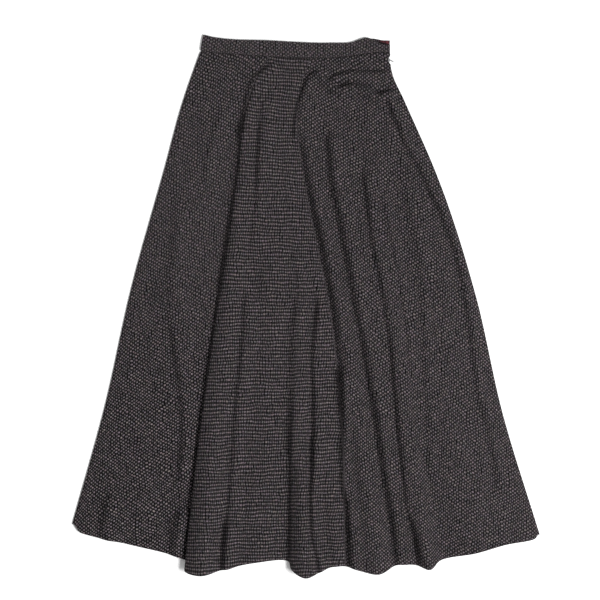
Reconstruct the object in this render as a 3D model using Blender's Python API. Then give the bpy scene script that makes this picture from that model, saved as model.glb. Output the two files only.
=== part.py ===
"""A flared maxi skirt lying flat on its back, with a narrow waistband and a concealed side zip.

The floor is z = 0, the waist points to +Y, the hem to -Y, and the zip is at +X. The origin is
the middle of the skirt's bounding box, on the floor. Sizes are in millimetres up to the point
where a mesh is made, and MM turns them into metres there.
"""

import math
from typing import NamedTuple

import bmesh
import bpy
import numpy as np

MM = 0.001

# Driving dimensions of the cloth and the gaps between pieces.
CLOTH = 1.4
BAND_THICK = 2.5
SEAM_GAP = 0.3
LAYER_GAP = 0.35
SHARP_ANGLE = 50

# Down the skirt, each line below is given at these fractions of the way from waist to hem.
STATIONS = (0.0, 0.04, 0.10, 0.25, 0.50, 0.75, 1.0)


class Line(NamedTuple):
    """One line that runs down a panel: a side seam, or a fold's foot, flank or crest."""
    name: str
    cells: int
    x: tuple
    z: tuple
    hem_y: float


# x is the place from the centre at each station. z is the height of the cloth's middle surface
# at each station below the first, because at the waist it is the band's. hem_y is where the
# line meets the hem, and cells is the number of steps from it to the next line.
FRONT_LINES = (
    Line("left side seam", 1,
         (-183, -195, -212, -246, -303, -349, -406), (4.0, 3.6, 3.6, 3.6, 3.6, 3.8), -379),
    Line("left hem corner", 1,
         (-176, -188, -203, -235, -290, -334, -393), (4.4, 4.6, 4.8, 4.8, 4.8, 5.6), -392),
    Line("left lower billow", 2,
         (-163, -174, -189, -217, -271, -316, -372), (5.0, 5.4, 5.6, 5.4, 5.6, 7.5), -399),
    Line("left broad billow", 5,
         (-139, -151, -163, -184, -226, -266, -306), (6.0, 6.8, 7.4, 8.0, 7.4, 5.5), -414),
    Line("foot of the first fold", 2,
         (-63, -85, -104, -123, -158, -186, -207), (4.2, 3.0, 2.7, 2.6, 2.6, 2.6), -445),
    Line("flank of the first fold", 3,
         (-61, -82, -101, -121, -156, -188, -214), (6.2, 7.0, 9.0, 11.5, 13.0, 15.0), -459),
    Line("crest of the first fold", 4,
         (-56, -73, -90, -106, -137, -165, -184), (7.6, 10.0, 13.5, 17.0, 22.0, 30.0), -466),
    Line("hollow after the first fold", 3,
         (-49, -63, -75, -83, -102, -123, -142), (6.2, 6.4, 7.2, 5.6, 4.2, 3.0), -457),
    Line("broad centre rise", 3,
         (-38, -49, -59, -63, -70, -76, -90), (6.6, 8.0, 9.5, 8.5, 7.5, 7.5), -446),
    Line("hollow before the second fold", 1,
         (-24, -36, -45, -40, -21, -30, -31), (6.2, 7.4, 8.4, 5.2, 3.2, 2.6), -443),
    Line("flank of the second fold", 3,
         (-21, -33, -41, -35, -14, -23, -25), (6.2, 7.2, 8.2, 6.0, 10.0, 15.0), -457),
    Line("crest of the second fold", 3,
         (-17, -28, -36, -28, -6, -9, -1), (6.2, 7.0, 7.8, 8.5, 16.0, 30.0), -470),
    Line("hollow after the second fold", 2,
         (-10, -21, -30, -20, 16, 11, 37), (6.0, 6.4, 6.8, 4.6, 3.6, 3.0), -455),
    Line("low centre crest", 2,
         (-2, -14, -23, -11, 28, 33, 54), (5.6, 5.4, 5.2, 6.5, 7.5, 8.5), -452),
    Line("foot of the third fold", 4,
         (9, -4, -14, 0, 43, 66, 69), (4.4, 3.0, 2.6, 2.6, 2.7, 3.0), -452),
    Line("crest of the third fold", 3,
         (24, 14, 3, 17, 64, 94, 125), (7.6, 10.0, 13.0, 15.0, 16.5, 25.0), -464),
    Line("hollow after the third fold", 2,
         (49, 38, 28, 40, 85, 122, 158), (6.6, 6.0, 4.2, 3.2, 3.0, 3.0), -449),
    Line("small crest", 2,
         (69, 61, 54, 69, 115, 142, 174), (6.8, 7.2, 7.4, 7.6, 8.0, 8.5), -448),
    Line("hollow before the fourth fold", 3,
         (89, 82, 76, 96, 142, 160, 193), (6.8, 6.6, 5.0, 4.0, 3.4, 3.0), -450),
    Line("crest of the fourth fold", 3,
         (104, 102, 106, 127, 158, 182, 215), (7.4, 8.0, 9.0, 9.5, 10.5, 18.0), -456),
    Line("hollow after the fourth fold", 3,
         (116, 116, 129, 151, 172, 200, 235), (7.2, 6.6, 6.2, 5.2, 3.8, 3.0), -441),
    Line("right broad billow", 4,
         (128, 129, 147, 180, 224, 257, 295), (7.4, 6.6, 8.0, 8.6, 8.2, 9.5), -429),
    Line("right rolled seam", 2,
         (132, 134, 158, 205, 275, 312, 346), (7.0, 5.6, 4.8, 4.2, 4.0, 4.0), -415),
    Line("right hem corner", 1,
         (140, 142, 165, 219, 286, 334, 397), (6.8, 6.0, 5.6, 5.4, 5.2, 5.4), -404),
    Line("right side seam", 1,
         (146, 149, 171, 226, 294, 342, 406), (6.4, 5.4, 4.6, 3.8, 3.6, 3.8), -397),
)

# The back panel lies on the floor, but for shallow rises into the front's four large folds.
BACK_LINES = (
    Line("left side seam", 1,
         (-179, -191, -208, -242, -299, -345, -402), (0, 0, 0, 0, 0, 0), -378),
    Line("left hem corner", 6,
         (-173, -185, -200, -232, -287, -331, -388), (0, 0, 0, 0, 0, 0), -389),
    Line("first rise, left foot", 1,
         (-50, -70, -88, -104, -136, -172, -197), (0, 0, 0, 0, 0, 0), -430),
    Line("first rise, top", 1,
         (-44, -60, -76, -90, -122, -156, -177), (0, 0, 0, 0, 1.8, 8.0), -432),
    Line("first rise, right foot", 4,
         (-36, -50, -62, -74, -100, -138, -156), (0, 0, 0, 0, 0, 0), -432),
    Line("second rise, left foot", 1,
         (-26, -36, -44, -40, -20, -20, -22), (0, 0, 0, 0, 0, 0), -436),
    Line("second rise, top", 1,
         (-20, -30, -38, -32, -10, -9, 3), (0, 0, 0, 0, 0.8, 8.5), -440),
    Line("second rise, right foot", 2,
         (-14, -24, -32, -24, 2, 3, 26), (0, 0, 0, 0, 0, 0), -441),
    Line("third rise, left foot", 1,
         (12, 0, -8, 8, 52, 76, 84), (0, 0, 0, 0, 0, 0), -445),
    Line("third rise, top", 1,
         (24, 14, 4, 20, 64, 94, 118), (0, 0, 0, 0, 1.4, 7.5), -446),
    Line("third rise, right foot", 2,
         (40, 30, 20, 34, 78, 112, 146), (0, 0, 0, 0, 0, 0), -443),
    Line("fourth rise, left foot", 1,
         (92, 88, 86, 106, 146, 168, 199), (0, 0, 0, 0, 0, 0), -438),
    Line("fourth rise, top", 1,
         (102, 100, 104, 124, 156, 181, 214), (0, 0, 0, 0, 0.5, 4.0), -436),
    Line("fourth rise, right foot", 5,
         (112, 112, 122, 142, 168, 194, 230), (0, 0, 0, 0, 0, 0), -434),
    Line("right hem corner", 1,
         (136, 138, 158, 212, 278, 324, 386), (0, 0, 0, 0, 0, 0), -399),
    Line("right side seam", 1,
         (142, 145, 167, 222, 290, 338, 401), (0, 0, 0, 0, 0, 0), -391),
)

# Rows of the walls, as fractions of the way down: closer near the waist and the hem.
FRONT_ROWS = (0.0, 0.007, 0.0145, 0.022, 0.035, 0.055, 0.08, 0.11, 0.145, 0.185, 0.225, 0.265,
              0.31, 0.36, 0.41, 0.46, 0.51, 0.56, 0.61, 0.66, 0.71, 0.76, 0.81, 0.86, 0.905,
              0.945, 0.975, 1.0)
BACK_ROWS = (0.0, 0.02, 0.05, 0.09, 0.14, 0.20, 0.26, 0.33, 0.40, 0.47, 0.54, 0.61, 0.68, 0.75,
             0.82, 0.88, 0.94, 1.0)

# At a sewn side seam the front turns down to the floor within RIM_TURN of its outline, through
# two points given as (distance in from the outline, height).
RIM_TURN = 2.4
RIM_SHOULDER = (0.3, 2.4)
RIM_FOOT = (0.0, 1.1)

# Along the zip, down to the fraction ZIP_OPEN, the front's edge stays up and only rolls over
# through two points given as (distance in, drop). From ZIP_CLOSED on the seam is sewn. At the
# slider the edge steps in.
ZIP_OPEN = 0.27
ZIP_CLOSED = 0.33
ROLL_SHOULDER = (1.0, 0.3)
ROLL_FOOT = (-0.5, 0.6)
NOTCH_DEPTH = 4.2
NOTCH_HALF = 9
NOTCH_SHARE = 0.8

# The seam where the panels meet the band, and the band's two top edges, as points (x, y).
SEAM_CURVE = ((-185, 443), (-150, 439.5), (-116, 437), (-55, 433), (5, 431), (42, 431),
              (80, 434.5), (122, 440.0), (147, 440.0))
FRONT_TOP_CURVE = ((-182, 470), (-175, 470), (-163, 467), (-142, 464), (-60, 460.5), (-17, 458),
                   (45, 456.5), (84, 459), (96, 463.5), (107, 465.5), (116, 462), (128, 455.5),
                   (147, 452.5))
BACK_TOP_CURVE = ((-182, 470), (-175, 470), (-163, 466.5), (-142, 463.5), (-60, 460), (-17, 457.5),
                  (45, 456), (84, 458), (98, 462.5), (108, 464), (118, 464), (129, 462), (136, 460.5),
                  (142, 460), (147, 461.5))

# The band: one folded strip that runs along the front, turns at the left side and runs back.
BAND_FRONT_Z = 4.6
BAND_BACK_Z = BAND_THICK / 2
BAND_LEFT_X = -176
BAND_LEAN = 4.5
BAND_LEAN_LENGTH = 50
BAND_RIGHT_X = 145.6
BAND_OPEN_LIFT = 2.6
BAND_OPEN_LENGTH = 60
BAND_STEPS = 24
BAND_TURN_STEPS = 8
BAND_ACROSS = 4

# The tape inside the band at the opening, in from the band's end and down from its top.
TAPE_SIZE = (17, 12, 0.8)
TAPE_IN = 1.5
TAPE_DOWN = 1.0

# The flat hook and bar that close the band.
HOOK_X = 121
HOOK_SIZE = (8, 7, 0.8)

# The side zip: its tape and coil, the slider with its bridge, and the pull tab.
ZIP_LENGTH = 200
ZIP_WIDTH = 12
ZIP_THICK = 1.0
ZIP_Z = CLOTH + LAYER_GAP + ZIP_THICK / 2
ZIP_EDGE = 2.0
ZIP_STEPS = 12
SLIDER_SIZE = (9.4, 5.4, 2.4)
SLIDER_Z = 3.2
BRIDGE_X = 144.6
BRIDGE_Y = 426.6
BRIDGE_RADIUS = 0.5
BRIDGE_ROOT = 0.2
SLOT_DEPTH = 3.2
SLOT_HEIGHT = 1.3
PULL_LENGTH = 8.0
PULL_HALF_WIDTH = 0.85
PULL_THICK = 0.7
PULL_EYE_RADIUS = 1.4
PULL_HOLE_RADIUS = 0.8
PULL_ROOT = 1.12
PULL_ANGLE = -25
PULL_BOW = 0.8
PULL_STEPS = 6
ROUND_STEPS = 16


def smooth(knots, values, at):
    """Read a smooth curve that passes through values at knots, at the places given by at."""
    knots = np.asarray(knots, float)
    values = np.asarray(values, float)
    at = np.clip(np.asarray(at, float), knots[0], knots[-1])
    column = (-1,) + (1,) * (values.ndim - 1)
    steps = np.diff(knots).reshape(column)
    slopes = np.diff(values, axis=0) / steps
    inner = (slopes[:-1] * steps[1:] + slopes[1:] * steps[:-1]) / (steps[:-1] + steps[1:])
    tangents = np.concatenate([slopes[:1], inner, slopes[-1:]])
    span = np.clip(np.searchsorted(knots, at, side="right") - 1, 0, len(knots) - 2)
    width = steps[span]
    u = (at - knots[span]).reshape(column) / width
    start = (2 * u**3 - 3 * u**2 + 1) * values[span]
    leave = (u**3 - 2 * u**2 + u) * width * tangents[span]
    end = (3 * u**2 - 2 * u**3) * values[span + 1]
    arrive = (u**3 - u**2) * width * tangents[span + 1]
    return start + leave + end + arrive


def smooth_at(knots, values, place):
    """Read the same curve at one place."""
    return smooth(knots, values, [place])[0]


def ramp(value, low, high):
    """Rise smoothly from 0 at low to 1 at high."""
    u = min(max((value - low) / (high - low), 0.0), 1.0)
    return u * u * (3 - 2 * u)


def blend(first, second, share):
    """Go from one number to another by a share between 0 and 1."""
    return first + (second - first) * share


def curve_y(curve, x):
    """Read a curve given as points (x, y) at one x."""
    return float(smooth_at([point[0] for point in curve], [point[1] for point in curve], x))


def band_front_z(x):
    """Height of the front band's middle surface, which lifts towards the open end."""
    return BAND_FRONT_Z + BAND_OPEN_LIFT * ramp(x, BAND_RIGHT_X - BAND_OPEN_LENGTH, BAND_RIGHT_X)


def spread(points, cells):
    """Put a smooth curve through points, with the given number of cells between each pair."""
    points = np.array(points, float)
    chords = np.linalg.norm(np.diff(points, axis=0), axis=1)
    knots = np.concatenate([[0.0], np.cumsum(np.sqrt(chords))])
    at = [knots[0]]
    for low, high, count in zip(knots, knots[1:], cells):
        at.extend(np.linspace(low, high, count + 1)[1:])
    return smooth(knots, points, at)


def lines_at(lines, t, waist_z):
    """Where each line is at t, as points (x, hem y, z)."""
    found = []
    for line in lines:
        heights = (waist_z(line.x[0]),) + line.z
        found.append([smooth_at(STATIONS, line.x, t), line.hem_y, smooth_at(STATIONS, heights, t)])
    return found


def set_rows(sections, rows):
    """Replace each point's hem y by its own y, on the way from the band's seam to the hem."""
    tops = [curve_y(SEAM_CURVE, point[0]) - SEAM_GAP for point in sections[0]]
    for section, t in zip(sections, rows):
        section[:, 1] = tops + (section[:, 1] - tops) * t
    return sections


def front_section(t):
    """Points (x, hem y, z) across the front's middle surface, at a fraction t of the way down."""
    points = lines_at(FRONT_LINES, t, band_front_z)
    left, right = points[0], points[-1]
    half = CLOTH / 2
    turned = ramp(t, ZIP_OPEN, ZIP_CLOSED)
    seam_y = curve_y(SEAM_CURVE, BRIDGE_X)
    slider_t = (seam_y - BRIDGE_Y) / (seam_y - right[1])
    away = abs(t - slider_t) * (BRIDGE_Y - right[1])
    notch = NOTCH_DEPTH * ramp(NOTCH_HALF - away, 0, NOTCH_HALF)
    right[0] -= notch
    points[-2][0] -= notch * NOTCH_SHARE
    left_rim = [[left[0] + half + step, left[1], z] for step, z in (RIM_FOOT, RIM_SHOULDER)]
    right_rim = []
    for (open_step, drop), (step, z) in ((ROLL_SHOULDER, RIM_SHOULDER), (ROLL_FOOT, RIM_FOOT)):
        x = right[0] - half - blend(open_step, step, turned)
        right_rim.append([x, right[1], blend(right[2] - drop, z, turned)])
    left[0] += half + RIM_TURN
    right[0] -= half + RIM_TURN
    points = left_rim + points + right_rim
    cells = [1, 1] + [line.cells for line in FRONT_LINES[:-1]] + [1, 1]
    section = spread(points, cells)
    touching = CLOTH + LAYER_GAP + CLOTH / 2
    section[3:-3, 2] = np.maximum(section[3:-3, 2], touching)
    return section


def back_section(t):
    """Points (x, hem y, z) across the back's middle surface."""
    points = lines_at(BACK_LINES, t, lambda x: 0.0)
    section = spread(points, [line.cells for line in BACK_LINES[:-1]])
    section[:, 2] = np.maximum(section[:, 2], 0.0) + CLOTH / 2
    return section


def directions(grid, axis):
    """Unit directions along one axis of a grid of points, halfway between the two neighbours'."""
    steps = np.diff(grid, axis=axis)
    steps /= np.linalg.norm(steps, axis=2, keepdims=True)
    first = np.take(steps, [0], axis=axis)
    last = np.take(steps, [-1], axis=axis)
    return np.concatenate([first, steps], axis=axis) + np.concatenate([steps, last], axis=axis)


def mesh_object(name, bm, finish):
    """Turn a mesh in millimetres into an object in metres."""
    bmesh.ops.recalc_face_normals(bm, faces=bm.faces)
    bmesh.ops.scale(bm, vec=(MM, MM, MM), verts=bm.verts)
    mesh = bpy.data.meshes.new(name)
    bm.to_mesh(mesh)
    bm.free()
    mesh.materials.append(finish)
    made = bpy.data.objects.new(name, mesh)
    bpy.context.scene.collection.objects.link(made)
    return made


def cloth_wall(name, sections, thickness, finish):
    """Make a closed wall of one thickness around the surface that the sections describe."""
    grid = np.array(sections)
    normals = np.cross(directions(grid, 0), directions(grid, 1))
    normals /= np.linalg.norm(normals, axis=2, keepdims=True)
    rows, columns = grid.shape[:2]
    bm = bmesh.new()
    upper, lower = (
        [[bm.verts.new(point) for point in row] for row in grid + normals * side * thickness / 2]
        for side in (1, -1))
    for side in (upper, lower):
        for i in range(rows - 1):
            for j in range(columns - 1):
                bm.faces.new((side[i][j], side[i][j + 1], side[i + 1][j + 1], side[i + 1][j]))
    rim = [(0, j) for j in range(columns - 1)]
    rim += [(i, columns - 1) for i in range(rows - 1)]
    rim += [(rows - 1, j) for j in range(columns - 1, 0, -1)]
    rim += [(i, 0) for i in range(rows - 1, 0, -1)]
    for (a, b), (c, d) in zip(rim, rim[1:] + rim[:1]):
        bm.faces.new((upper[a][b], upper[c][d], lower[c][d], lower[a][b]))
    made = mesh_object(name, bm, finish)
    made.data.shade_smooth()
    made.data.set_sharp_from_angle(angle=math.radians(SHARP_ANGLE))
    return made


def plate(name, centre, size, finish, rounding=0.25):
    """A flat rectangular piece with its edges eased."""
    bm = bmesh.new()
    bmesh.ops.create_cube(bm, size=1)
    bmesh.ops.scale(bm, vec=size, verts=bm.verts)
    bmesh.ops.bevel(bm, geom=bm.edges, offset=rounding, segments=1, affect="EDGES")
    bmesh.ops.translate(bm, vec=centre, verts=bm.verts)
    return mesh_object(name, bm, finish)


def extruded(name, outline, low, high, finish, axis="z"):
    """Extrude a flat outline between two heights, along z, or along y for an outline in (x, z)."""
    bm = bmesh.new()
    if axis == "z":
        base = [bm.verts.new((u, v, low)) for u, v in outline]
        step = (0, 0, high - low)
    else:
        base = [bm.verts.new((u, low, v)) for u, v in outline]
        step = (0, high - low, 0)
    face = bm.faces.new(base)
    raised = bmesh.ops.extrude_face_region(bm, geom=[face])["geom"]
    corners = [item for item in raised if isinstance(item, bmesh.types.BMVert)]
    bmesh.ops.translate(bm, vec=step, verts=corners)
    return mesh_object(name, bm, finish)


def combine(target, tool, operation):
    """Join a helper solid to a piece, or cut it away, and keep the helper out of sight."""
    tool.hide_render = True
    tool.display_type = "WIRE"
    modifier = target.modifiers.new(operation.lower(), "BOOLEAN")
    modifier.operation = operation
    modifier.solver = "EXACT"
    modifier.object = tool


def circle(x, y, radius):
    """Points of a circle as an outline."""
    turns = [2 * math.pi * step / ROUND_STEPS for step in range(ROUND_STEPS)]
    return [(x + radius * math.cos(turn), y + radius * math.sin(turn)) for turn in turns]


def material(name, colour, roughness, metallic=0.0):
    """Make a Principled material of one colour."""
    made = bpy.data.materials.new(name)
    made.use_nodes = True
    shader = made.node_tree.nodes["Principled BSDF"]
    shader.inputs["Base Color"].default_value = (*colour, 1)
    shader.inputs["Roughness"].default_value = roughness
    shader.inputs["Metallic"].default_value = metallic
    return made


def front_panel(tweed):
    """The front, with its folds."""
    sections = set_rows([front_section(t) for t in FRONT_ROWS], FRONT_ROWS)
    return cloth_wall("front_panel", sections, CLOTH, tweed)


def back_panel(tweed):
    """The back, flat on the floor but for its shallow rises."""
    sections = set_rows([back_section(t) for t in BACK_ROWS], BACK_ROWS)
    return cloth_wall("back_panel", sections, CLOTH, tweed)


def band_path():
    """Points (x, z) along the band's middle surface, front run first, with each run's top curve."""
    across = np.linspace(BAND_RIGHT_X, BAND_LEFT_X, BAND_STEPS + 1)
    path = [(x, band_front_z(x), FRONT_TOP_CURVE) for x in across]
    middle = (BAND_FRONT_Z + BAND_BACK_Z) / 2
    radius = (BAND_FRONT_Z - BAND_BACK_Z) / 2
    for step in range(1, BAND_TURN_STEPS):
        angle = math.pi * step / BAND_TURN_STEPS
        x = BAND_LEFT_X - radius * math.sin(angle)
        path.append((x, middle + radius * math.cos(angle), FRONT_TOP_CURVE))
    path += [(x, BAND_BACK_Z, BACK_TOP_CURVE) for x in across[::-1]]
    return path


def waistband(tweed):
    """The band as one strip, doubled back at the left side and open at the zip."""
    sections = []
    for x, z, top_curve in band_path():
        lean = BAND_LEAN * ramp(x, BAND_LEFT_X + BAND_LEAN_LENGTH, BAND_LEFT_X)
        bottom = curve_y(SEAM_CURVE, x - lean)
        top = curve_y(top_curve, x)
        shares = np.linspace(0, 1, BAND_ACROSS + 1)
        sections.append([(x - lean * (1 - share), blend(bottom, top, share), z) for share in shares])
    return cloth_wall("waistband", sections, BAND_THICK, tweed)


def inner_tape(red):
    """The red tape on the inside of the back band, at the opening."""
    length, height, thick = TAPE_SIZE
    x = BAND_RIGHT_X - TAPE_IN - length / 2
    y = curve_y(BACK_TOP_CURVE, x - length / 4) - TAPE_DOWN - height / 2
    z = BAND_THICK + SEAM_GAP + thick / 2
    return plate("inner_tape", (x, y, z), TAPE_SIZE, red)


def band_closure(steel):
    """The flat bar on the back band, and the flat hook above it on the front band."""
    thick = HOOK_SIZE[2]
    y = (curve_y(SEAM_CURVE, HOOK_X) + curve_y(FRONT_TOP_CURVE, HOOK_X)) / 2
    bar_z = BAND_THICK + SEAM_GAP + thick / 2
    hook_z = band_front_z(HOOK_X - HOOK_SIZE[0] / 2) - BAND_THICK / 2 - SEAM_GAP - thick / 2
    plate("band_bar", (HOOK_X, y, bar_z), HOOK_SIZE, steel)
    plate("band_hook", (HOOK_X, y, hook_z), HOOK_SIZE, steel)


def zip_edge(y):
    """The right outline of the skirt at a height y along the zip."""
    right = FRONT_LINES[-1]
    top = curve_y(SEAM_CURVE, right.x[0])
    return smooth_at(STATIONS, right.x, (top - y) / (top - right.hem_y))


def zip_tape(black):
    """The zip's tape and coil, between the two panels from below the slider down."""
    top = BRIDGE_Y - SLIDER_SIZE[1] / 2 - SEAM_GAP
    sections = []
    for y in np.linspace(top, top - ZIP_LENGTH, ZIP_STEPS + 1):
        outer = zip_edge(y) - ZIP_EDGE
        sections.append([(outer - ZIP_WIDTH, y, ZIP_Z), (outer, y, ZIP_Z)])
    return cloth_wall("zip_tape", sections, ZIP_THICK, black)


def zip_slider(metal):
    """The slider: a body with a slot in its outer end, and a bridge across the slot."""
    length, width, height = SLIDER_SIZE
    outer = BRIDGE_X + 2 * BRIDGE_RADIUS
    inner = outer - length
    slot = outer - SLOT_DEPTH
    top, bottom = SLIDER_Z + height / 2, SLIDER_Z - height / 2
    roof, base = SLIDER_Z + SLOT_HEIGHT / 2, SLIDER_Z - SLOT_HEIGHT / 2
    side = [(inner, bottom), (outer, bottom), (outer, base), (slot, base),
            (slot, roof), (outer, roof), (outer, top), (inner, top)]
    body = extruded("zip_slider", side, BRIDGE_Y - width / 2, BRIDGE_Y + width / 2, metal, axis="y")
    post = extruded("slider_bridge", circle(BRIDGE_X, BRIDGE_Y, BRIDGE_RADIUS),
                    base - BRIDGE_ROOT, roof + BRIDGE_ROOT, metal)
    combine(body, post, "UNION")
    return body


def zip_pull(metal):
    """The pull tab: an eye round the bridge and a short bent tab. Its origin is on the bridge."""
    start = PULL_ROOT / PULL_LENGTH
    end = 1 - PULL_HALF_WIDTH / PULL_LENGTH
    left, right = [], []
    for share in np.linspace(start, end, PULL_STEPS):
        heading = math.atan2(4 * PULL_BOW * (1 - 2 * share), PULL_LENGTH)
        x = PULL_LENGTH * share
        y = 4 * PULL_BOW * share * (1 - share)
        across = (-PULL_HALF_WIDTH * math.sin(heading), PULL_HALF_WIDTH * math.cos(heading))
        left.append((x + across[0], y + across[1]))
        right.append((x - across[0], y - across[1]))
    nose = []
    for turn in (math.pi / 4, 0, -math.pi / 4):
        toward = heading + turn
        nose.append((x + PULL_HALF_WIDTH * math.cos(toward), y + PULL_HALF_WIDTH * math.sin(toward)))
    opening = math.asin(PULL_HALF_WIDTH / PULL_EYE_RADIUS)
    turns = np.linspace(-opening, opening - 2 * math.pi, ROUND_STEPS)[1:-1]
    eye = [(PULL_EYE_RADIUS * math.cos(turn), PULL_EYE_RADIUS * math.sin(turn)) for turn in turns]
    half = PULL_THICK / 2
    tab = extruded("zip_pull", left + nose + right[::-1] + eye, -half, half, metal)
    hole = extruded("pull_hole", circle(0, 0, PULL_HOLE_RADIUS), -PULL_THICK, PULL_THICK, metal)
    hole.parent = tab
    combine(tab, hole, "DIFFERENCE")
    tab.location = (BRIDGE_X * MM, BRIDGE_Y * MM, SLIDER_Z * MM)
    tab.rotation_euler = (0, 0, math.radians(PULL_ANGLE))
    return tab


def build():
    """Make every piece."""
    tweed = material("tweed", (0.042, 0.037, 0.039), 0.92)
    red = material("red_tape", (0.16, 0.04, 0.045), 0.8)
    black = material("black_tape", (0.02, 0.02, 0.021), 0.75)
    steel = material("grey_metal", (0.35, 0.35, 0.36), 0.35, 1.0)
    front_panel(tweed)
    back_panel(tweed)
    waistband(tweed)
    inner_tape(red)
    band_closure(steel)
    zip_tape(black)
    zip_slider(steel)
    zip_pull(steel)


for old in list(bpy.data.objects):
    bpy.data.objects.remove(old, do_unlink=True)
build()
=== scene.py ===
import math
from typing import NamedTuple

import bpy
import numpy as np
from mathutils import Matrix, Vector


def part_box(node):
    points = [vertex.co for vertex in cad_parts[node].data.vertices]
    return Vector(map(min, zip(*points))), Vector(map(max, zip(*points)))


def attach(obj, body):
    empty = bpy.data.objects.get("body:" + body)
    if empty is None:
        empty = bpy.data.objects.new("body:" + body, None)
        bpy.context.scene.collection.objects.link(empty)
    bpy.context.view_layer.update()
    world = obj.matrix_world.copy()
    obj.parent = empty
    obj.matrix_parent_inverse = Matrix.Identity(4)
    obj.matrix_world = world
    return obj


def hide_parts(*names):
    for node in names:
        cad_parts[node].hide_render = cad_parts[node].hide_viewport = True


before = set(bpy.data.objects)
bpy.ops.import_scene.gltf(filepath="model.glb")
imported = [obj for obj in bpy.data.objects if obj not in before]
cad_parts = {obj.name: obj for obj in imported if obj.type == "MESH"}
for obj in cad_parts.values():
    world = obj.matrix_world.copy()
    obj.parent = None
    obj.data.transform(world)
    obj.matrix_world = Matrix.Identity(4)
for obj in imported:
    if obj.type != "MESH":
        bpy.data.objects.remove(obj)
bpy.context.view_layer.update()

# The scene dresses a flared maxi skirt that lies flat on its back. The floor is z = 0, the waist
# points to +Y and the zip is at +X. Sizes are in millimetres up to the point where a mesh is
# made, and MM turns them into metres there. The panels and the band repeat the tables that the
# solids are made from, on a finer grid, and add small creases, seams and the weave.
MM = 0.001

CLOTH = 1.4
BAND_THICK = 2.5
SEAM_GAP = 0.3
LAYER_GAP = 0.35

# Down the skirt, each line below is given at these fractions of the way from waist to hem.
STATIONS = (0.0, 0.04, 0.10, 0.25, 0.50, 0.75, 1.0)


class Line(NamedTuple):
    """One line that runs down a panel: a side seam, or a fold's foot, flank or crest."""
    name: str
    cells: int
    x: tuple
    z: tuple
    hem_y: float


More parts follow.
